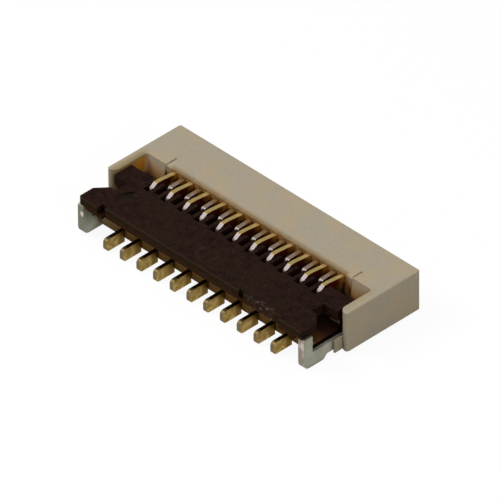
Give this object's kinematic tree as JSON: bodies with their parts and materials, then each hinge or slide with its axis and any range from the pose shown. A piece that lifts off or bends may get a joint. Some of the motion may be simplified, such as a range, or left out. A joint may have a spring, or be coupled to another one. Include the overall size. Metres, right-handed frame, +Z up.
{
  "type": "fpc connector",
  "caption": "Low board-mounted connector for flat flexible cable, with a slotted back-flip actuator that clamps the cable and solder tails along both sides.",
  "frame": {"origin": "centre of the part's footprint, on the board surface that its tails and feet stand on", "axes": "+X along the row of contacts, +Y out of the face where the cable goes in, +Z up from the board; the actuator lies closed over the -Y side"},
  "size_m": [0.0086, 0.0042, 0.0012],
  "materials": {
    "housing_plastic": "matte grey-beige moulded plastic with a fine grain",
    "actuator_plastic": "matte dark brown moulded plastic",
    "gold_plate": "thin gold plate on stamped sheet, satin faces and bright rounded ends",
    "tin_plate": "dull tin plate on stamped sheet"
  },
  "bodies": {
    "base": {"housing": "housing_plastic", "fitting_left": "tin_plate", "fitting_right": "tin_plate", "contact_01": "gold_plate", "contact_02": "gold_plate", "contact_03": "gold_plate", "contact_04": "gold_plate", "contact_05": "gold_plate", "contact_06": "gold_plate", "contact_07": "gold_plate", "contact_08": "gold_plate", "contact_09": "gold_plate", "contact_10": "gold_plate", "contact_11": "gold_plate", "contact_12": "gold_plate", "contact_13": "gold_plate", "contact_14": "gold_plate", "contact_15": "gold_plate", "contact_16": "gold_plate", "contact_17": "gold_plate", "contact_18": "gold_plate", "contact_19": "gold_plate", "contact_20": "gold_plate", "contact_21": "gold_plate"},
    "flap": {"actuator": "actuator_plastic"}
  },
  "joints": [
    {"name": "actuator_hinge", "type": "hinge", "parent": "base", "child": "flap", "pos_m": [0, -0.00017, 0.00077], "axis": [-1, 0, 0], "range_deg": [0, 90]}
  ]
}
